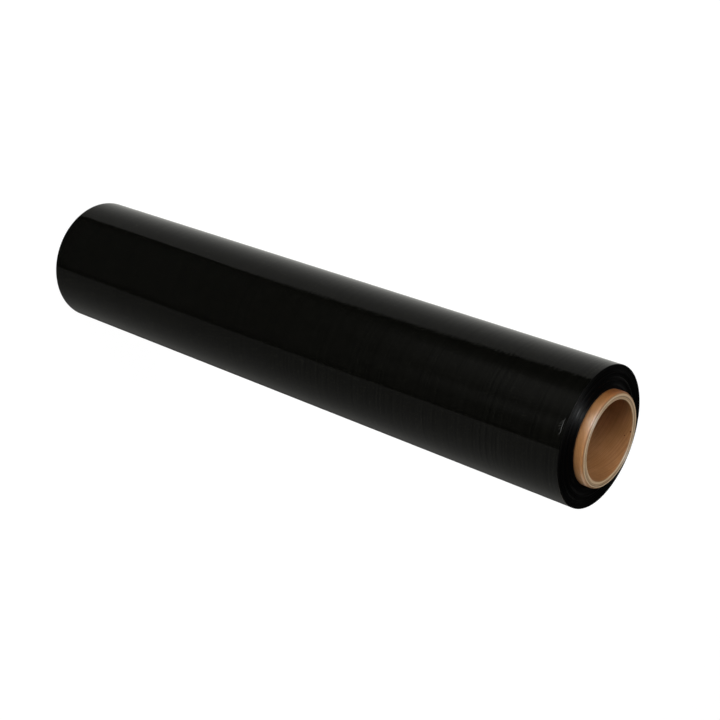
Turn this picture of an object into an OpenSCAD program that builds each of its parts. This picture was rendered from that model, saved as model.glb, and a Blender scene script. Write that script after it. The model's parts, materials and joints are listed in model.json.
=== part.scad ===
// Hand stretch wrap roll: black film wound on a spiral-wound paper core.
// It stands on the lower end of its core, with +Z up along the roll's axis
// and the origin at the middle of that end. All sizes are in millimetres.

/* [Film] */
// Width of the film, from one end face of the winding to the other
film_width = 450; // [250:5:600]
// Depth of the winding, from the core out to the last turn
film_depth = 14.8; // [4:0.1:60]
// Radius of the winding's outer edges
film_edge_r = 0.5; // [0.3:0.1:2.5]
// Radial width of one band of turns, as it shows on the end faces
band_w = 0.62; // [0.4:0.02:2]
// How far a band of turns wanders along the axis, to either side
band_wander = 0.28; // [0:0.01:0.6]
// Radial width of the slope from one band of turns to the next
band_slope_w = 0.12; // [0.04:0.01:0.3]
// How far the innermost turns have crept up along the core
creep = 0.7; // [0:0.1:3]
// Depth of winding that has crept, from the core outwards
creep_depth = 5; // [1:0.5:30]

/* [Free end of the film] */
// How far the film's cut edge stands proud of the turn below it
tail_lift = 0.25; // [0.1:0.05:0.8]
// Where the cut edge lies round the roll, in degrees from +X
tail_angle = 118; // [0:1:359]

/* [Core] */
// Bore of the core, a standard 2 inch
core_bore_d = 50.8; // [38:0.1:60]
// Wall of the core
core_wall = 4.8; // [3.5:0.1:7]
// How far the core stands out of the film at each end
core_stub = 7; // [3:0.5:25]
// Radius of the edge between the bore and the cut end
bore_edge_r = 0.6; // [0.2:0.1:0.9]
// Radius of the blunt edge between the outside and the cut end
rim_r = 1.6; // [0.3:0.1:1.8]
// Number of paper plies in the wall
ply_count = 9; // [4:1:12]
// Depth of the fine line between two plies at the cut end
ply_line = 0.12; // [0.05:0.01:0.3]
// Depth of the one open line, where the inner plies part from the outer ones
ply_gap = 0.45; // [0.1:0.05:1]
// Number of plies inside the open line
inner_plies = 4; // [2:1:7]

/* [Hidden] */
$fn = 96;

core_ir = core_bore_d / 2;
core_or = core_ir + core_wall;
core_len = film_width + 2 * core_stub;
film_r = core_or + film_depth;
film_z0 = core_stub;
film_z1 = film_z0 + film_width;

// Steps in a rounded edge
edge_steps = 6;

// The bands of turns fill the end face from the core to the rounded edge.
face_w = film_depth - film_edge_r;
band_count = max(2, round(face_w / band_w));
band_pitch = face_w / band_count;
slope_w = min(band_slope_w, band_pitch / 3);

// One turn's film is cut to one width, so a band that wanders up at one
// end face does so at the other as well. The outermost band sets the width.
wander_seed = 41;
wander = rands(-1, 1, band_count, wander_seed);
// The innermost bands have also crept up along the core, less and less
// with each band away from it.
function crept(i) = creep * pow(max(0, 1 - i * band_pitch / creep_depth), 2);
function band_shift(i) = i == band_count - 1 ? 0 : band_wander * wander[i] + crept(i);

// Width of a ply line at the core's cut end
line_w = 0.14;
// Width of the open line at the core's cut end
gap_w = 0.3;
ply_w = core_wall / ply_count;

// Points of a quarter round from one angle to another, about [r, z]
function quarter(r, z, radius, from, to) = [
    for (k = [0 : edge_steps])
        let (a = from + (to - from) * k / edge_steps)
        [r + radius * cos(a), z + radius * sin(a)]
];

// A list of points, last one first
function backwards(points) = [
    for (k = [len(points) - 1 : -1 : 0]) points[k]
];

// The end face of the winding at height z, from the core outwards: a flat
// for each band of turns, with a short slope to the next
function turn_edges(z) = [
    for (i = [0 : band_count - 1])
        let (
            inner = core_or + i * band_pitch + (i == 0 ? 0 : slope_w / 2),
            outer = core_or + (i + 1) * band_pitch - slope_w / 2
        )
        for (r = [inner, outer]) [r, z + band_shift(i)]
];

// The paper core's cut end at height z, from the bore outwards. The lines
// between its plies point into the wall: sink is 1 at the lower end and -1
// at the upper one.
function ply_lines(z, sink) = [
    for (k = [1 : ply_count - 1])
        let (
            open = k == inner_plies,
            r = core_ir + k * ply_w,
            half = (open ? gap_w : line_w) / 2,
            depth = open ? ply_gap : ply_line
        )
        if (r - half > core_ir + bore_edge_r && r + half < core_or - rim_r)
            for (p = [[r - half, z], [r, z + sink * depth], [r + half, z]]) p
];

module wound_film() {
    color([0.03, 0.03, 0.03])
        union() {
            rotate_extrude()
                polygon(concat(
                    turn_edges(film_z0),
                    quarter(film_r - film_edge_r, film_z0 + film_edge_r, film_edge_r, -90, 0),
                    quarter(film_r - film_edge_r, film_z1 - film_edge_r, film_edge_r, 0, 90),
                    backwards(turn_edges(film_z1))
                ));
            film_tail();
        }
}

// The last turn's free end: a lap that rises slowly out of the turn below
// it over a quarter turn, up to the straight cut edge.
module film_tail() {
    lap_len = film_width - 2 * film_edge_r;
    cut_over = 1;
    rotate(tail_angle)
        translate([0, 0, film_z0 + film_edge_r])
            difference() {
                translate([tail_lift, 0, 0])
                    cylinder(r = film_r, h = lap_len);
                cylinder(r = core_or + face_w / 2, h = lap_len);
                translate([-2 * film_r, 0, -cut_over])
                    cube([4 * film_r, 2 * film_r, lap_len + 2 * cut_over]);
            }
}

module core_tube() {
    color([0.66, 0.45, 0.27])
        rotate_extrude()
            polygon(concat(
                quarter(core_ir + bore_edge_r, bore_edge_r, bore_edge_r, 180, 270),
                ply_lines(0, 1),
                quarter(core_or - rim_r, rim_r, rim_r, 270, 360),
                quarter(core_or - rim_r, core_len - rim_r, rim_r, 0, 90),
                backwards(ply_lines(core_len, -1)),
                quarter(core_ir + bore_edge_r, core_len - bore_edge_r, bore_edge_r, 90, 180)
            ));
}

wound_film();
core_tube();
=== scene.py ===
"""A roll of black stretch wrap on its paper core, standing on end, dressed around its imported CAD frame.

Everything is in metres in the frame's own axes: +Z runs up along the roll. The camera looks down on the
roll's upper end, and is turned so that this end points to the lower right of the picture.
"""

import json
import math
import random

import bpy
import numpy as np
from mathutils import Matrix, Vector


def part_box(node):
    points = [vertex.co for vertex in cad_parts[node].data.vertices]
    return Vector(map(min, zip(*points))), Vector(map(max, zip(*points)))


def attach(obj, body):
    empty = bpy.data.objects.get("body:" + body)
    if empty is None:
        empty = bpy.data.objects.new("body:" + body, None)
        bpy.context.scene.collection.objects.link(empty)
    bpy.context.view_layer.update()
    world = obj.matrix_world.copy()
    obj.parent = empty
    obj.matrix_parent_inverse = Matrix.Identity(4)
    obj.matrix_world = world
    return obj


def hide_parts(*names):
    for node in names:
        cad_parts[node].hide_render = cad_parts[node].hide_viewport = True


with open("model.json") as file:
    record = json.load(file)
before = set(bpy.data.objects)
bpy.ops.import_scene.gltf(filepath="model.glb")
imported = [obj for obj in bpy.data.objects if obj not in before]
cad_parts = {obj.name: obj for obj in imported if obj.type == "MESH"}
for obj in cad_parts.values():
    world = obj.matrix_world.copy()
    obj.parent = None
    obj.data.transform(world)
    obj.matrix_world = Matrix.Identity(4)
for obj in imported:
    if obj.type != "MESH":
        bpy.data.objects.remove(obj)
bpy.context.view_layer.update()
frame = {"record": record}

MM = 0.001
RNG = random.Random(7)

# Sizes read from the frame

_, film_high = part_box("wound_film")
_, core_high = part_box("core_tube")
FILM_R = film_high.x
CORE_R = core_high.x
CORE_LEN = core_high.z
mounts = {mount["name"]: mount for mount in frame["record"]["mounts"]}
BORE_R = mounts["core_bore"]["dims"]["r_mm"] * MM

# How far the core stands out of the film at each end
STUB = 7 * MM
FILM_Z0 = STUB
FILM_Z1 = CORE_LEN - STUB
# How far the innermost turns of film have crept along the core, and how deep into the winding that goes
CREEP = 0.7 * MM
CREEP_DEPTH = 5 * MM

# The camera: which side it looks from, in the frame's axes, and how far it's rolled

CAMERA_AZIMUTH = math.radians(-62)
CAMERA_ELEVATION = math.radians(36.06)
CAMERA_ROLL = math.radians(109.82)
LENS_MM = 71.29
SENSOR_MM = 36
# The nearest and the farthest that it sees
CAMERA_REACH = (0.01, 100)
# The middle of the film's upper end face in the camera's own axes: right, up and towards the viewer
FACE_FROM_CAMERA = Vector((0.1420, -0.0456, -0.8426))


def direction(azimuth, elevation):
    """A unit vector in the frame's axes."""
    level = math.cos(elevation)
    return Vector((level * math.cos(azimuth), level * math.sin(azimuth), math.sin(elevation)))


def make_camera():
    back = direction(CAMERA_AZIMUTH, CAMERA_ELEVATION)
    right = Vector((0, 0, 1)).cross(back).normalized()
    upright = Matrix((right, back.cross(right), back)).transposed()
    turn = upright @ Matrix.Rotation(CAMERA_ROLL, 3, "Z")
    data = bpy.data.cameras.new("camera")
    data.lens = LENS_MM
    data.sensor_width = SENSOR_MM
    data.clip_start, data.clip_end = CAMERA_REACH
    camera = bpy.data.objects.new("camera", data)
    camera.matrix_world = turn.to_4x4()
    camera.location = Vector((0, 0, FILM_Z1)) - turn @ FACE_FROM_CAMERA
    bpy.context.collection.objects.link(camera)
    bpy.context.scene.camera = camera


# Node graphs

# Where a Mix node has the sockets for colours
MIX_FIRST, MIX_SECOND, MIX_RESULT = 6, 7, 2


def rgba(red, green, blue):
    return (red, green, blue, 1.0)


class Graph:
    """Adds nodes to a material or a world, one short call each."""

    def __init__(self, owner):
        owner.use_nodes = True
        self.tree = owner.node_tree
        self.tree.nodes.clear()

    def node(self, kind, settings=None, **inputs):
        """inputs go by the sockets' names, with an underscore for each space."""
        made = self.tree.nodes.new(kind)
        for name, value in (settings or {}).items():
            setattr(made, name, value)
        for name, value in inputs.items():
            self.feed(made.inputs[name.replace("_", " ")], value)
        return made

    def feed(self, socket, value):
        if isinstance(value, bpy.types.NodeSocket):
            self.tree.links.new(value, socket)
        else:
            socket.default_value = value

    def math(self, operation, *values):
        made = self.tree.nodes.new("ShaderNodeMath")
        made.operation = operation
        for socket, value in zip(made.inputs, values):
            self.feed(socket, value)
        return made.outputs[0]

    def step(self, value, start, end, low=0.0, high=1.0):
        """A smooth change from low to high as value goes from start to end."""
        made = self.node("ShaderNodeMapRange", {"interpolation_type": "SMOOTHSTEP"}, Value=value)
        for name, number in (("From Min", start), ("From Max", end), ("To Min", low), ("To Max", high)):
            self.feed(made.inputs[name], number)
        return made.outputs["Result"]

    def step_straight(self, value, start, end):
        """A straight change from 0 to 1 as value goes from start to end."""
        made = self.node("ShaderNodeMapRange", Value=value)
        for name, number in (("From Min", start), ("From Max", end)):
            self.feed(made.inputs[name], number)
        return made.outputs["Result"]

    def curve(self, value, stops):
        """A value that goes straight from one (place, level) stop to the next."""
        first, last = stops[0][0], stops[-1][0]
        made = self.node("ShaderNodeFloatCurve", Value=self.step_straight(value, first, last))
        points = made.mapping.curves[0].points
        for k, (place, level) in enumerate(stops):
            share = (place - first) / (last - first)
            if 0 < k < len(stops) - 1:
                points.new(share, level)
            else:
                points[0 if k == 0 else -1].location = (share, level)
        for point in points:
            point.handle_type = "VECTOR"
        made.mapping.update()
        return made.outputs["Value"]

    def ramp(self, value, stops):
        """A colour that goes straight from one (place, colour) stop to the next."""
        first, last = stops[0][0], stops[-1][0]
        made = self.node("ShaderNodeValToRGB", Fac=self.step_straight(value, first, last))
        elements = made.color_ramp.elements
        for k, (place, color) in enumerate(stops):
            if 0 < k < len(stops) - 1:
                element = elements.new((place - first) / (last - first))
            else:
                element = elements[0 if k == 0 else -1]
            element.color = color
        return made.outputs["Color"]

    def mix(self, factor, first, second):
        made = self.node("ShaderNodeMix", {"data_type": "RGBA"})
        self.feed(made.inputs["Factor"], factor)
        self.feed(made.inputs[MIX_FIRST], first)
        self.feed(made.inputs[MIX_SECOND], second)
        return made.outputs[MIX_RESULT]

    def place(self):
        """Where a point of the piece lies, in the frame's axes."""
        return self.node("ShaderNodeTexCoord").outputs["Object"]

    def xyz(self, vector):
        return self.node("ShaderNodeSeparateXYZ", Vector=vector).outputs

    def azimuth(self, x, y):
        """Degrees round the roll, from the side that the picture is taken from."""
        cos_a, sin_a = math.cos(CAMERA_AZIMUTH), math.sin(CAMERA_AZIMUTH)
        ahead = self.math("ADD", self.math("MULTIPLY", x, cos_a), self.math("MULTIPLY", y, sin_a))
        aside = self.math("SUBTRACT", self.math("MULTIPLY", y, cos_a), self.math("MULTIPLY", x, sin_a))
        return self.math("DEGREES", self.math("ARCTAN2", aside, ahead))

    def radius(self, x, y):
        return self.math("SQRT", self.math("ADD", self.math("MULTIPLY", x, x), self.math("MULTIPLY", y, y)))

    def noise(self, vector, scale, detail, roughness=0.5):
        made = self.node(
            "ShaderNodeTexNoise", Vector=vector, Scale=scale, Detail=detail, Roughness=roughness,
        )
        return made.outputs["Fac"]

    def stretched_noise(self, vector, scales, detail, roughness=0.5):
        """Noise with a scale of its own along each axis."""
        stretched = self.node("ShaderNodeMapping", Vector=vector, Scale=scales)
        return self.noise(stretched.outputs["Vector"], 1.0, detail, roughness)

    def lines(self, value, scale, detail=0.0):
        """Noise that changes with one value alone."""
        made = self.node(
            "ShaderNodeTexNoise", {"noise_dimensions": "1D"}, W=value, Scale=scale, Detail=detail,
        )
        return made.outputs["Fac"]

    def bump(self, height, distance):
        return self.node("ShaderNodeBump", Height=height, Distance=distance, Strength=1.0).outputs["Normal"]

    def seen(self, path):
        """1 for what the camera sees, straight or through something clear, and 0 for all other rays."""
        return self.math("MAXIMUM", path["Is Camera Ray"], path["Is Transmission Ray"])

    def principled(self, tangent=False, **inputs):
        shader = self.node("ShaderNodeBsdfPrincipled", **inputs)
        if tangent:
            around = self.node("ShaderNodeTangent", {"direction_type": "RADIAL", "axis": "Z"})
            self.feed(shader.inputs["Tangent"], around.outputs[0])
        self.node("ShaderNodeOutputMaterial", Surface=shader.outputs[0])


# Light

WHITE = rgba(1, 1, 1)
DARK = rgba(0, 0, 0)
# The studio's light is a trace warm
TINT = rgba(1.0, 1.0, 0.95)
# The studio round the roll, as its black film mirrors it, with directions in degrees round the roll from the
# camera's side. Each softbox comes up from dark across the two directions of rise, and goes down to dark
# again across those of fall. It lies askew by lean degrees across LEAN_RAYS, and by bend degrees across
# BEND_RAYS. The low ones show only near the roll's upper end.
SOFTBOXES = (
    {"glow": 0.165, "rise": (-68.9, -69.8), "lean": 15, "bend": 4.5},
    {"glow": 0.42, "rise": (-80, -180)},
    {"glow": 0.072, "rise": (43.0, 44.2), "lean": 4.5},
    {"glow": 0.028, "rise": (43.0, 44.2), "lean": 4.5, "low": True},
    {"glow": 0.078, "rise": (50, 130), "fall": (138, 162)},
    {"glow": 0.014, "rise": (-68, -56), "fall": (30, 38)},
    {"glow": 0.008, "rise": (-180, -170)},
    {"glow": 0.105, "rise": (-59, -43), "fall": (-40, 4), "low": True},
    {"glow": 0.06, "rise": (-10, 2), "fall": (4, 20), "low": True},
)
# How far down the rays go that meet the low softboxes, or find the others askew, as heights of unit rays
LOW_RAYS = (-0.63, -0.47)
LEAN_RAYS = (-0.66, -0.46)
BEND_RAYS = (-0.66, -0.72)
# The softboxes fade out across these heights, and nothing glows above them
SOFTBOX_TOP = (0.1, 0.24)
# The even light on rough surfaces goes from the first level to the second across these heights
AMBIENT_SIDE = 0.16
AMBIENT_TOP = 0.08
AMBIENT_HEIGHTS = (0.1, 0.8)


def softbox_glow(graph, softbox, azimuth, low, lean, bend):
    turned = graph.math("ADD", azimuth, graph.math("MULTIPLY", lean, softbox.get("lean", 0)))
    turned = graph.math("ADD", turned, graph.math("MULTIPLY", bend, softbox.get("bend", 0)))
    glow = graph.math("MULTIPLY", graph.step(turned, *softbox["rise"]), softbox["glow"])
    if "fall" in softbox:
        glow = graph.math("MULTIPLY", glow, graph.step(turned, *softbox["fall"], 1.0, 0.0))
    if softbox.get("low"):
        glow = graph.math("MULTIPLY", glow, low)
    return glow


def make_world():
    world = bpy.data.worlds.new("studio")
    bpy.context.scene.world = world
    graph = Graph(world)
    x, y, z = graph.xyz(graph.node("ShaderNodeTexCoord").outputs["Generated"])
    azimuth = graph.azimuth(x, y)
    low = graph.step(z, *LOW_RAYS)
    lean = graph.step_straight(z, *LEAN_RAYS)
    bend = graph.step_straight(z, *BEND_RAYS)
    glow = 0.0
    for softbox in SOFTBOXES:
        glow = graph.math("ADD", softbox_glow(graph, softbox, azimuth, low, lean, bend), glow)
    glow = graph.math("MULTIPLY", glow, graph.step(z, *SOFTBOX_TOP, 1.0, 0.0))
    ambient = graph.step(z, *AMBIENT_HEIGHTS, AMBIENT_SIDE, AMBIENT_TOP)
    path = graph.node("ShaderNodeLightPath").outputs
    light = graph.mix(path["Is Glossy Ray"], ambient, graph.mix(glow, DARK, TINT))
    color = graph.mix(graph.seen(path), light, WHITE)
    background = graph.node("ShaderNodeBackground", Color=color, Strength=1.0)
    graph.node("ShaderNodeOutputWorld", Surface=background.outputs[0])


LAMP_WHITE = (1, 1, 1)
SHEEN_COLOR = (1.0, 0.93, 0.78)
GLINT_COLOR = (0.96, 0.99, 1.0)


def make_lamp(name, lights, azimuth, elevation, distance, size, power, color=LAMP_WHITE):
    """A square softbox that looks at the roll's upper end, with azimuth from the camera's side. It lights
    "diffuse" surfaces and leaves reflections alone, or it shows only in "glossy" reflections."""
    data = bpy.data.lights.new(name, "AREA")
    data.color = color
    data.size = size
    data.energy = power
    lamp = bpy.data.objects.new(name, data)
    way = direction(CAMERA_AZIMUTH + math.radians(azimuth), math.radians(elevation))
    lamp.location = Vector((0, 0, CORE_LEN)) + way * distance
    lamp.rotation_euler = way.to_track_quat("Z", "Y").to_euler()
    lamp.visible_camera = False
    lamp.visible_diffuse = lights == "diffuse"
    lamp.visible_glossy = lights == "glossy"
    bpy.context.collection.objects.link(lamp)


def make_lights():
    make_lamp("key", "diffuse", azimuth=5, elevation=-3, distance=1.4, size=0.6, power=7.6)
    make_lamp("brow", "diffuse", azimuth=-35, elevation=22, distance=1.4, size=0.4, power=4.8)
    make_lamp("side", "diffuse", azimuth=60, elevation=-12, distance=1.4, size=0.8, power=2.5)
    make_lamp("high", "diffuse", azimuth=-38, elevation=72, distance=1.5, size=0.4, power=11)
    make_lamp(
        "glint", "glossy", azimuth=-30, elevation=45, distance=1.5, size=0.18, power=54, color=GLINT_COLOR,
    )
    make_lamp("graze", "glossy", azimuth=-161, elevation=24, distance=1.5, size=0.3, power=0.14)
    make_lamp(
        "sheen", "glossy", azimuth=-24, elevation=-10, distance=1.4, size=0.3, power=23, color=SHEEN_COLOR,
    )
    make_lamp(
        "back", "glossy", azimuth=112, elevation=-10, distance=1.4, size=0.6, power=10, color=SHEEN_COLOR,
    )


FLOOR_HALF = 30
FLOOR_PAINT = rgba(0.85, 0.85, 0.85)
# To the camera, the floor is a white glow by this share, and paint that takes the roll's shadow for the rest
FLOOR_WHITENING = 0.85
FLOOR_GLOW = 1.15


def make_floor():
    data = bpy.data.meshes.new("floor")
    corners = [(x * FLOOR_HALF, y * FLOOR_HALF, 0) for x, y in ((-1, -1), (1, -1), (1, 1), (-1, 1))]
    data.from_pydata(corners, [], [(0, 1, 2, 3)])
    floor = bpy.data.objects.new("floor", data)
    bpy.context.collection.objects.link(floor)
    material = bpy.data.materials.new("floor_white")
    graph = Graph(material)
    path = graph.node("ShaderNodeLightPath").outputs
    matte = graph.node("ShaderNodeBsdfDiffuse", Color=FLOOR_PAINT)
    white = graph.node("ShaderNodeEmission", Color=WHITE, Strength=FLOOR_GLOW)
    both = graph.node("ShaderNodeMixShader")
    graph.feed(both.inputs[0], graph.math("MULTIPLY", graph.seen(path), FLOOR_WHITENING))
    graph.feed(both.inputs[1], matte.outputs[0])
    graph.feed(both.inputs[2], white.outputs[0])
    graph.node("ShaderNodeOutputMaterial", Surface=both.outputs[0])
    data.materials.append(material)
    floor.visible_glossy = False


# Materials

# Nearly all of a noise's values lie between these two
NOISE_SPAN = (0.3, 0.7)

# Materials of the film

BLACK = rgba(0.0012, 0.0012, 0.0009)
WORN_BLACK = rgba(0.0052, 0.0053, 0.0041)
# How the lines that run round the roll stray along it, and how deep they are
LINE_DRIFT_SCALES = (14, 14, 4)
LINE_DRIFT = 4 * MM
LINE_DEPTH = 0.034 * MM
# The dullest lines are this share of a metal as black as the film, which mirrors next to nothing
LINE_DULLNESS = 0.26


def film_side_material():
    """Glossy black film: each turn leaves fine lines that run round the roll."""
    material = bpy.data.materials.new("film_side")
    graph = Graph(material)
    place = graph.place()
    _, _, z = graph.xyz(place)
    drift = graph.math("MULTIPLY", graph.stretched_noise(place, LINE_DRIFT_SCALES, detail=1.0), LINE_DRIFT)
    along = graph.math("ADD", z, drift)
    normal = graph.bump(graph.lines(along, scale=650), LINE_DEPTH)
    color = graph.mix(graph.step(graph.lines(along, scale=900, detail=1.0), *NOISE_SPAN), BLACK, WORN_BLACK)
    dull = graph.lines(along, scale=680, detail=1.0)
    dull = graph.step(dull, start=0.33, end=0.67, low=0.0, high=LINE_DULLNESS)
    graph.principled(Base_Color=color, Metallic=dull, Roughness=0.05, IOR=1.56, Normal=normal)
    return material


EDGE_BLACK = rgba(0.0012, 0.0012, 0.0012)
# How rough the end faces' bands of turns are, as (radius in mm, roughness)
EDGE_ROUGHNESS = (
    (30.0, 0.92), (31.4, 0.76), (32.4, 0.64), (34.0, 0.60), (35.0, 0.74), (35.8, 0.58),
    (36.6, 0.53), (38.2, 0.53), (39.0, 0.84), (39.8, 0.90), (40.4, 0.58), (41.2, 0.56),
    (41.8, 0.66), (42.4, 0.58), (43.4, 0.62), (44.0, 0.86), (45.6, 0.90),
)
# How much rougher or smoother than that the finest streaks are
EDGE_STREAKS = 0.1
# How far the turns' edges stray, and how high they stand for the light
EDGE_DRIFT = 1.2 * MM
EDGE_DEPTH = 0.5 * MM
EDGE_SPECULAR = 0.063
GLOSSY_EDGE_SPECULAR = 0.082


def film_edge_material(name, specular):
    """The end faces: hundreds of film edges, rough across the turns and smooth along them."""
    material = bpy.data.materials.new(name)
    graph = Graph(material)
    place = graph.place()
    x, y, _ = graph.xyz(place)
    drift = graph.math("MULTIPLY", graph.noise(place, scale=30, detail=1.0), EDGE_DRIFT)
    radius = graph.math("ADD", graph.radius(x, y), drift)
    normal = graph.bump(graph.lines(radius, scale=420, detail=1.0), EDGE_DEPTH)
    roughness = graph.curve(radius, [(place_mm * MM, value) for place_mm, value in EDGE_ROUGHNESS])
    streaks = graph.lines(radius, scale=800, detail=1.0)
    streaks = graph.step(streaks, start=0.4, end=0.6, low=-EDGE_STREAKS, high=EDGE_STREAKS)
    roughness = graph.math("ADD", roughness, streaks)
    graph.principled(
        tangent=True, Base_Color=EDGE_BLACK, Roughness=roughness, IOR=1.45, Specular_IOR_Level=specular,
        Anisotropic=0.95, Anisotropic_Rotation=0.25, Normal=normal,
    )
    return material


RIM_BLACK = rgba(0.0015, 0.0015, 0.0014)


def film_rim_material():
    """The film's rounded edges, dulled by handling."""
    material = bpy.data.materials.new("film_rim")
    graph = Graph(material)
    mottle = graph.noise(graph.place(), scale=400, detail=2.0)
    roughness = graph.step(mottle, *NOISE_SPAN, low=0.38, high=0.5)
    graph.principled(Base_Color=RIM_BLACK, Roughness=roughness, IOR=1.5, Specular_IOR_Level=0.035)
    return material


RUBBED = rgba(0.017, 0.017, 0.016)
RUBBED_PALE = rgba(0.023, 0.023, 0.022)


def film_rubbed_material():
    """Film that something has rubbed dull."""
    material = bpy.data.materials.new("film_rubbed")
    graph = Graph(material)
    mottle = graph.step(graph.noise(graph.place(), scale=900, detail=2.0), *NOISE_SPAN)
    graph.principled(Base_Color=graph.mix(mottle, RUBBED, RUBBED_PALE), Roughness=0.5, IOR=1.4)
    return material


# Materials of the core

# The paper's fibres lie along the winding's helix, which turns by this many radians a metre
KRAFT_TWIST = 109
GRAIN_SCALES = (1300, 1300, 60)
GRAIN_DEPTH = 0.04 * MM
GRAIN_BROWN = rgba(0.17, 0.066, 0.020)
FLECK_SCALES = (500, 500, 90)
FLECK_TAN = rgba(0.45, 0.25, 0.11)
FLECK_SHARE = 0.5
# Two small dark stains on the bore's wall, as (place, size) in mm
STAINS = (((-19.3, 16.5, 463.0), 0.65), ((-16.9, 18.9, 459.6), 0.45))
STAIN_BROWN = rgba(0.07, 0.015, 0.008)
# How far out a stain is at its darkest, as a share of its size
STAIN_HEART = 0.6
# Painted shade: the skin is painted darker and more orange between these two directions, in degrees round
# the roll from the camera's side
SHADED_SIDE = (-34, -70)
SIDE_SHADE_ORANGE = rgba(0.28, 0.088, 0.016)
SIDE_SHADE_SHARE = 0.9
# Painted shade next to the film: the skin is painted darker up to this far from the film's end faces, and
# darkest where the film has crept along it
CONTACT_SHADE_REACH = 1.8 * MM
CONTACT_SHADE = rgba(0.08, 0.035, 0.012)
CONTACT_SHADE_SHARE = 0.75


def helix(graph, place):
    """place turned round Z by its height, so that a line along Z becomes a helix."""
    _, _, z = graph.xyz(place)
    turn = graph.node("ShaderNodeVectorRotate", {"rotation_type": "Z_AXIS"}, Vector=place)
    graph.feed(turn.inputs["Angle"], graph.math("MULTIPLY", z, -KRAFT_TWIST))
    return turn.outputs["Vector"]


def stained(graph, place, color):
    """The bore's colour, with its stains."""
    for spot, size in STAINS:
        away = graph.node("ShaderNodeVectorMath", {"operation": "DISTANCE"})
        graph.feed(away.inputs[0], place)
        graph.feed(away.inputs[1], [value * MM for value in spot])
        stain = graph.step(away.outputs["Value"], size * MM, size * MM * STAIN_HEART)
        color = graph.mix(stain, color, STAIN_BROWN)
    return color


def painted_skin_shade(graph, place, color):
    """The skin's colour with painted shade: darker and more orange on one side, and darker next to the film.
    """
    x, y, z = graph.xyz(place)
    # Painted shade on one side of the skin
    side_shade = graph.step(graph.azimuth(x, y), *SHADED_SIDE, low=0.0, high=SIDE_SHADE_SHARE)
    color = graph.mix(side_shade, color, SIDE_SHADE_ORANGE)
    # Painted shade where the skin meets the film
    from_middle = graph.math("ABSOLUTE", graph.math("SUBTRACT", z, CORE_LEN / 2))
    from_end = graph.math("SUBTRACT", CORE_LEN / 2, from_middle)
    contact_shade = graph.step(from_end, STUB - CONTACT_SHADE_REACH, STUB - CREEP, low=0.0, high=CONTACT_SHADE_SHARE)
    return graph.mix(contact_shade, color, CONTACT_SHADE)


def kraft_material(name, warm, pale, roughness, specular, streaks, stains_and_shade):
    """Burnished kraft paper: warm brown, with fibres that lie along the winding's helix. roughness is the
    range that it's mottled through, streaks is how strongly the fibres show, and stains_and_shade(graph,
    place, color) gives its colour with real stains in the bore, and with painted shade on the skin."""
    material = bpy.data.materials.new(name)
    graph = Graph(material)
    place = graph.place()
    clouds = graph.noise(place, scale=90, detail=3.0, roughness=0.6)
    wound = helix(graph, place)
    grain = graph.stretched_noise(wound, GRAIN_SCALES, detail=2.0, roughness=0.6)
    flecks = graph.stretched_noise(wound, FLECK_SCALES, detail=2.0)
    color = graph.mix(graph.step(clouds, *NOISE_SPAN), warm, pale)
    color = graph.mix(graph.step(grain, start=0.35, end=0.7, low=0.0, high=streaks), color, GRAIN_BROWN)
    color = graph.mix(graph.step(flecks, start=0.68, end=0.76, low=0.0, high=FLECK_SHARE), color, FLECK_TAN)
    graph.principled(
        Base_Color=stains_and_shade(graph, place, color), Roughness=graph.step(clouds, *NOISE_SPAN, *roughness),
        IOR=1.45, Specular_IOR_Level=specular, Normal=graph.bump(grain, GRAIN_DEPTH),
    )
    return material


# The cut end's colours from the bore outwards, as (radius in mm, colour): glue lines between paler plies
PLY_COLORS = (
    (25.40, rgba(0.36, 0.190, 0.085)),
    (25.65, rgba(0.64, 0.48, 0.30)),
    (26.15, rgba(0.62, 0.46, 0.29)),
    (26.35, rgba(0.30, 0.185, 0.10)),
    (26.60, rgba(0.34, 0.210, 0.115)),
    (26.85, rgba(0.50, 0.35, 0.215)),
    (27.15, rgba(0.44, 0.31, 0.185)),
    (27.35, rgba(0.13, 0.078, 0.042)),
    (27.70, rgba(0.15, 0.090, 0.05)),
    (27.95, rgba(0.58, 0.43, 0.275)),
    (28.50, rgba(0.64, 0.49, 0.32)),
    (28.85, rgba(0.62, 0.45, 0.28)),
    (29.05, rgba(0.42, 0.26, 0.13)),
    (29.30, rgba(0.22, 0.100, 0.035)),
    (29.60, rgba(0.30, 0.130, 0.045)),
)
# How far the glue lines lie off centre, as (degrees round the roll from the camera's side, share). A share
# of 0.5 is centred, and one of 0 or 1 is PLY_DRIFT_HALF further in or out.
PLY_DRIFT = (
    (-180, 0.46), (-90, 0.44), (-50, 0.42), (0, 0.42), (30, 0.46), (60, 0.66), (80, 0.76), (120, 0.54),
    (180, 0.46),
)
PLY_DRIFT_HALF = 2 * MM
# How unevenly the glue lines run
PLY_WANDER = 0.4 * MM
# Painted highlight: where the cut end is painted paler, on the side that catches the lamps' glint, as
# (degrees, share)
PAINTED_SHEEN_SIDE = ((-180, 0.0), (-95, 0.0), (-50, 0.3), (-10, 0.35), (25, 0.3), (55, 0.1), (70, 0.0), (180, 0.0))
PAINTED_SHEEN_COLOR = rgba(0.66, 0.50, 0.33)
SPECKLE_BROWN = rgba(0.26, 0.18, 0.11)
SPECKLE_SHARE = 0.35
SPECKLE_DEPTH = 0.06 * MM


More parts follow.
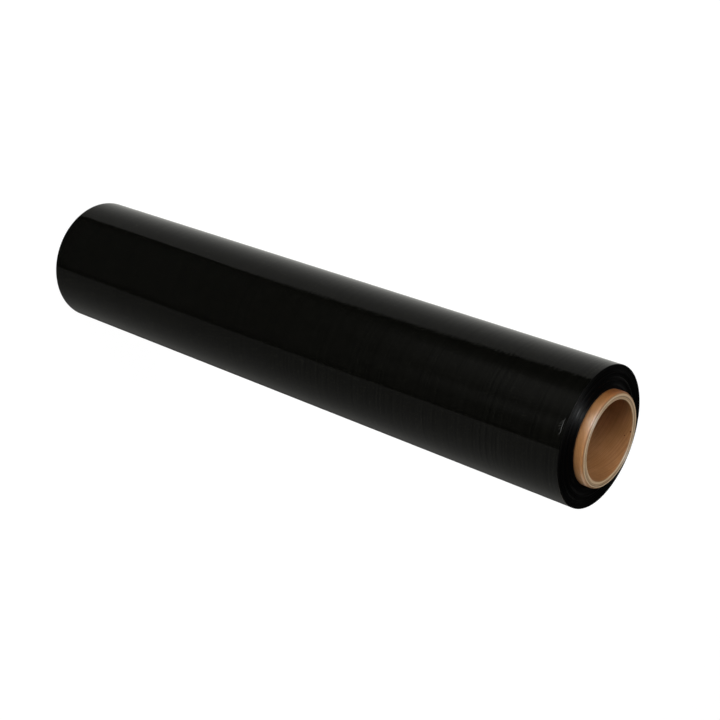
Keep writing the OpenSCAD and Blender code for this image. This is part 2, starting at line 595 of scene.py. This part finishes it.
def cut_paper_material():
    """The core's cut ends: pale board with darker glue lines between its plies, and a painted highlight on
    one side.
    """
    material = bpy.data.materials.new("cut_paper")
    graph = Graph(material)
    place = graph.place()
    x, y, _ = graph.xyz(place)
    radius = graph.radius(x, y)
    azimuth = graph.azimuth(x, y)
    plies = [(place_mm * MM, color) for place_mm, color in PLY_COLORS]
    outwards = graph.step_straight(radius, plies[0][0], plies[-1][0])
    inside = graph.math("SINE", graph.math("MULTIPLY", outwards, math.pi))
    off_centre = graph.math("SUBTRACT", graph.curve(azimuth, PLY_DRIFT), 0.5)
    drift = graph.math("MULTIPLY", graph.math("MULTIPLY", off_centre, 2 * PLY_DRIFT_HALF), inside)
    uneven = graph.math("SUBTRACT", graph.noise(place, scale=60, detail=2.0), 0.5)
    radius = graph.math("SUBTRACT", radius, drift)
    radius = graph.math("ADD", radius, graph.math("MULTIPLY", uneven, PLY_WANDER))
    speckle = graph.noise(place, scale=1500, detail=2.0, roughness=0.6)
    speckled = graph.step(speckle, *NOISE_SPAN, low=0.0, high=SPECKLE_SHARE)
    color = graph.mix(speckled, graph.ramp(radius, plies), SPECKLE_BROWN)
    # Painted highlight: the middle of the plies is painted paler on the side that catches the lamps' glint
    middle = graph.math("MULTIPLY", inside, inside)
    color = graph.mix(graph.math("MULTIPLY", middle, graph.curve(azimuth, PAINTED_SHEEN_SIDE)), color, PAINTED_SHEEN_COLOR)
    graph.principled(
        tangent=True, Base_Color=color, Roughness=0.6, IOR=1.45, Specular_IOR_Level=0.5,
        Anisotropic=0.9, Anisotropic_Rotation=0.25, Normal=graph.bump(speckle, SPECKLE_DEPTH),
    )
    return material


# Meshes


def lathe(name, rows, angles, shift=None):
    """A closed ring swept round Z. rows are (radius, height, material index) and angles are in radians.
    shift(radius, height, angle) gives an array of what is added to the radius."""
    radius = np.array([row[0] for row in rows])[:, None]
    height = np.array([row[1] for row in rows])[:, None]
    angle = np.array(angles)[None, :]
    if shift is not None:
        radius = radius + shift(radius, height, angle)
    shape = (len(rows), len(angles))
    x = np.broadcast_to(radius * np.cos(angle), shape)
    y = np.broadcast_to(radius * np.sin(angle), shape)
    z = np.broadcast_to(height, shape)
    points = np.stack([x, y, z], axis=-1).reshape(-1, 3)
    index = np.arange(shape[0] * shape[1]).reshape(shape)
    after = np.roll(index, -1, axis=0)
    beside = np.roll(index, -1, axis=1)
    opposite = np.roll(after, -1, axis=1)
    faces = np.stack([index, beside, opposite, after], axis=-1).reshape(-1, 4)
    data = bpy.data.meshes.new(name)
    data.from_pydata(points.tolist(), [], faces.tolist())
    slots = np.repeat([row[2] for row in rows], shape[1])
    data.polygons.foreach_set("material_index", slots)
    data.polygons.foreach_set("use_smooth", [True] * len(faces))
    data.update()
    piece = bpy.data.objects.new(name, data)
    bpy.context.collection.objects.link(piece)
    return piece


def rounded(radius, height, edge, start, end, steps, slot, next_slot, tall=None):
    """Rows along a quarter round about (radius, height), from one angle to another in degrees. edge is its
    radius, tall its height where that differs, and next_slot the material past its last row."""
    tall = tall or edge
    turns = np.radians(np.linspace(start, end, steps))
    rows = [(radius + edge * math.cos(turn), height + tall * math.sin(turn), slot) for turn in turns]
    return rows[:-1] + [(rows[-1][0], rows[-1][1], next_slot)]


# The wound film

# Its materials, in their order on the mesh
SIDE, EDGE, RIM, GLOSSY_EDGE = 0, 1, 2, 3
# The turns between these two radii are the glossiest
GLOSSY_TURNS = (36.3 * MM, 38.4 * MM)
FILM_SEGMENTS = 240
FILM_ROW_STEP = 3.4 * MM
FILM_EDGE_R = 0.5 * MM
# Rows along a rounded edge
EDGE_STEPS = 7
# One band of turns on the end faces: its width, from least to most, how far it may lie above or below
# FACE_WAVES, how far it may tilt to either side, and half the width of the slope to the next one
BAND_WIDTH_MM = (0.22, 0.75)
BAND_RISE_MM = 0.05
BAND_TILT_MM = 0.03
BAND_SLOPE_HALF = 0.02 * MM
# How the end faces dip and rise, as (radius, height) in mm
FACE_WAVES = (
    (30.2, 0.0), (32.0, 0.02), (33.0, -0.02), (34.6, 0.02), (35.6, 0.08), (36.2, 0.12), (36.6, 0.06),
    (37.0, -0.08), (37.8, -0.42), (38.2, -0.54), (38.6, -0.58), (39.4, -0.16), (39.8, 0.0), (40.4, 0.02),
    (41.4, -0.1), (41.8, 0.0), (42.8, -0.04), (43.6, 0.0), (45.0, 0.0),
)
# The free end of the film: how far its cut edge stands proud, and where it lies round the roll. The lap ends
# at TAIL_ANGLE and the turn below starts a TAIL_STEP on, in radians, with TAIL_CUT between the two.
TAIL_LIFT = 0.21 * MM
TAIL_ANGLE = math.radians(118)
TAIL_STEP = 0.0015
TAIL_CUT = 0.001
# The film runs a little thinner here and there along the roll, by waves of (radians a metre, phase)
THIN_WAVES = ((310, 0.4), (523, 2.1), (877, 4.4))
THIN_DEPTH = 0.01 * MM


def turn_bands(inner, outer):
    """Flats of uneven width for the bands of turns, as (radius, rise) at both edges of each. They follow
    FACE_WAVES, each a little above or below its neighbours."""
    places, heights = zip(*FACE_WAVES)
    radius = inner
    while radius < outer:
        width = RNG.uniform(*BAND_WIDTH_MM) * MM
        rise = RNG.uniform(-BAND_RISE_MM, BAND_RISE_MM) * MM
        tilt = RNG.uniform(-BAND_TILT_MM, BAND_TILT_MM) * MM
        end = min(radius + width, outer)
        rise += CREEP * max(0, 1 - (radius - inner) / CREEP_DEPTH) ** 2
        yield radius + BAND_SLOPE_HALF, rise - tilt + np.interp(radius / MM, places, heights) * MM
        yield end - BAND_SLOPE_HALF, rise + tilt + np.interp(end / MM, places, heights) * MM
        radius = end


def film_rows():
    face = [
        (radius, rise, GLOSSY_EDGE if GLOSSY_TURNS[0] < radius < GLOSSY_TURNS[1] else EDGE)
        for radius, rise in turn_bands(CORE_R, FILM_R - FILM_EDGE_R)
    ]
    low, high = FILM_Z0 + FILM_EDGE_R, FILM_Z1 - FILM_EDGE_R
    rows = [(radius, FILM_Z0 + rise, slot) for radius, rise, slot in face]
    rows += rounded(FILM_R - FILM_EDGE_R, low, FILM_EDGE_R, -90, 0, EDGE_STEPS, RIM, SIDE)
    rows += [(FILM_R, height, SIDE) for height in np.arange(low, high, FILM_ROW_STEP)[1:]]
    rows += rounded(FILM_R - FILM_EDGE_R, high, FILM_EDGE_R, 0, 90, EDGE_STEPS, RIM, EDGE)
    rows += [(radius, FILM_Z1 + rise, slot) for radius, rise, slot in reversed(face)]
    return rows


def film_angles():
    """Even steps round the roll, with a sharp step at the free end of the film."""
    step = 2 * math.pi / FILM_SEGMENTS
    return [TAIL_ANGLE + TAIL_STEP] + [TAIL_ANGLE + step * k for k in range(1, FILM_SEGMENTS + 1)]


def film_shift(radius, height, angle):
    """The last turn's free end, and the shallow bands where the film runs thinner."""
    outside = np.clip((radius - (FILM_R - 2 * FILM_EDGE_R)) / (2 * FILM_EDGE_R), 0, 1)
    turned = (angle - TAIL_ANGLE - TAIL_CUT) % (2 * math.pi)
    last_quarter = np.clip(turned - 1.5 * math.pi, 0, None)
    lap = TAIL_LIFT * np.sin(last_quarter) * outside
    thin = sum(np.sin(height * pitch + phase) for pitch, phase in THIN_WAVES)
    return lap - THIN_DEPTH * (len(THIN_WAVES) + thin) * outside


def make_film():
    film = lathe("film_winding", film_rows(), film_angles(), film_shift)
    film.data.materials.append(film_side_material())
    film.data.materials.append(film_edge_material("film_edge", EDGE_SPECULAR))
    film.data.materials.append(film_rim_material())
    film.data.materials.append(film_edge_material("film_edge_glossy", GLOSSY_EDGE_SPECULAR))
    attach(film, "root")
    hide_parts("wound_film")


# Scuffs near the film's upper edge, as strokes of (degrees from the camera's side, height in mm)
SCUFFS = (
    ((-4.6, 454.7), (-2.6, 454.4), (-1.0, 454.3), (1.3, 454.3), (2.9, 454.2), (5.1, 454.3), (6.6, 454.4),
     (8.1, 454.3), (10.4, 454.0)),
    ((-2.6, 454.4), (-1.6, 453.6), (-0.2, 452.7)),
    ((-1.0, 454.3), (0.2, 453.2), (1.5, 452.0)),
    ((1.0, 454.3), (2.1, 453.1), (3.2, 451.9)),
    ((2.9, 454.2), (4.0, 453.4), (5.2, 452.7)),
    ((6.6, 454.4), (7.9, 453.9), (9.1, 453.2)),
)
SCUFF_HALF = 0.27 * MM
SCUFF_TALL = 0.07 * MM
# How deep a scuff's feet lie in the film
SCUFF_SUNK = 0.1 * MM
# How far past its first and last points a stroke would come to nothing, as a share of the way between two
SCUFF_TIP = 0.4


def scuff_sections(stroke):
    """A foot, the crest and the other foot at each point of a stroke."""
    up = Vector((0, 0, 1))
    for k, (turn, height) in enumerate(stroke):
        last = k == len(stroke) - 1
        outward = direction(CAMERA_AZIMUTH + math.radians(turn), 0)
        around = up.cross(outward)
        next_turn, next_height = stroke[k - 1] if last else stroke[k + 1]
        ahead = Vector((FILM_R * math.radians(next_turn - turn), (next_height - height) * MM)).normalized()
        if last:
            ahead = -ahead
        share = math.sin(math.pi * (k + SCUFF_TIP) / (len(stroke) - 1 + 2 * SCUFF_TIP))
        across = (up * ahead.x - around * ahead.y) * SCUFF_HALF * share
        middle = outward * FILM_R + up * height * MM
        foot = middle - outward * SCUFF_SUNK
        yield foot - across, middle + outward * SCUFF_TALL * share, foot + across


def make_scuffs():
    """Rubbed film: low ridges with pointed ends, paler than the film round them."""
    points, faces = [], []
    for stroke in SCUFFS:
        first = len(points)
        for section in scuff_sections(stroke):
            points += section
        last = len(points) - 3
        faces.append((first, first + 1, first + 2))
        for start in range(first, last, 3):
            for side in range(3):
                beside = (side + 1) % 3
                faces.append((start + side, start + side + 3, start + beside + 3, start + beside))
        faces.append((last + 2, last + 1, last))
    data = bpy.data.meshes.new("film_scuffs")
    data.from_pydata(points, [], faces)
    scuffs = bpy.data.objects.new("film_scuffs", data)
    bpy.context.collection.objects.link(scuffs)
    data.materials.append(film_rubbed_material())
    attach(scuffs, "root")


# The paper core

# Its materials, in their order on the mesh
SKIN, CUT, BORE = 0, 1, 2
CORE_SEGMENTS = 256
SKIN_ROWS = 60
BORE_ROWS = 100
PLY_COUNT = 9
# How many plies lie inside the line that is open
OPEN_PLY = 4
# The lines between two plies at the cut end, as (half width, depth)
OPEN_LINE = (0.15 * MM, 0.45 * MM)
FINE_LINE = (0.07 * MM, 0.1 * MM)
INNER_EDGE_R = 0.6 * MM
# The blunt outer edge reaches this far in from the skin, and this far along it from the cut end
OUTER_EDGE_R = 1.6 * MM
OUTER_EDGE_TALL = 2.4 * MM
# How far the skin reaches over the blunt edge, in degrees from upright
SKIN_BEND = 50
# Rows along the blunt edge, on the skin's part and on the cut part
SKIN_BEND_STEPS = 8
CUT_BEND_STEPS = 6


def ply_lines():
    """Where the plies meet at the cut end, as (radius, depth) from the bore outwards."""
    ply = (CORE_R - BORE_R) / PLY_COUNT
    for k in range(1, PLY_COUNT):
        middle = BORE_R + k * ply
        half, depth = OPEN_LINE if k == OPEN_PLY else FINE_LINE
        if BORE_R + INNER_EDGE_R < middle - half and middle + half < CORE_R - OUTER_EDGE_R:
            yield from ((middle - half, 0), (middle, depth), (middle + half, 0))


def blunt_edge(height, start, end, steps, slot, next_slot):
    radius = CORE_R - OUTER_EDGE_R
    return rounded(radius, height, OUTER_EDGE_R, start, end, steps, slot, next_slot, OUTER_EDGE_TALL)


def core_rows():
    inner = BORE_R + INNER_EDGE_R
    low, high = OUTER_EDGE_TALL, CORE_LEN - OUTER_EDGE_TALL
    lines = list(ply_lines())
    rows = rounded(inner, INNER_EDGE_R, INNER_EDGE_R, 180, 270, EDGE_STEPS, CUT, CUT)
    rows += [(radius, depth, CUT) for radius, depth in lines]
    rows += blunt_edge(low, 270, 360 - SKIN_BEND, CUT_BEND_STEPS, CUT, SKIN)
    rows += blunt_edge(low, 360 - SKIN_BEND, 360, SKIN_BEND_STEPS, SKIN, SKIN)[1:]
    rows += [(CORE_R, height, SKIN) for height in np.linspace(low, high, SKIN_ROWS)[1:-1]]
    rows += blunt_edge(high, 0, SKIN_BEND, SKIN_BEND_STEPS, SKIN, CUT)
    rows += blunt_edge(high, SKIN_BEND, 90, CUT_BEND_STEPS, CUT, CUT)[1:]
    rows += [(radius, CORE_LEN - depth, CUT) for radius, depth in reversed(lines)]
    rows += rounded(inner, CORE_LEN - INNER_EDGE_R, INNER_EDGE_R, 90, 180, EDGE_STEPS, CUT, BORE)
    heights = np.linspace(CORE_LEN - INNER_EDGE_R, INNER_EDGE_R, BORE_ROWS)[1:-1]
    rows += [(BORE_R, height, BORE) for height in heights]
    return rows


def skin_material():
    # Its colour carries painted shade: darker and more orange on one side, and darker next to the film
    return kraft_material(
        "kraft_skin", warm=rgba(0.37, 0.165, 0.052), pale=rgba(0.43, 0.204, 0.071), roughness=(0.40, 0.48),
        specular=0.5, streaks=0.45, stains_and_shade=painted_skin_shade,
    )


def bore_material():
    return kraft_material(
        "kraft_bore", warm=rgba(0.43, 0.202, 0.077), pale=rgba(0.51, 0.246, 0.098), roughness=(0.5, 0.6),
        specular=0.12, streaks=0.38, stains_and_shade=stained,
    )


def make_core():
    angles = np.linspace(0, 2 * math.pi, CORE_SEGMENTS, endpoint=False)
    core = lathe("paper_core", core_rows(), angles)
    for material in (skin_material(), cut_paper_material(), bore_material()):
        core.data.materials.append(material)
    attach(core, "root")
    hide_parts("core_tube")


make_camera()
make_world()
make_lights()
make_floor()
make_film()
make_scuffs()
make_core()

bpy.context.scene.view_settings.view_transform = "Standard"
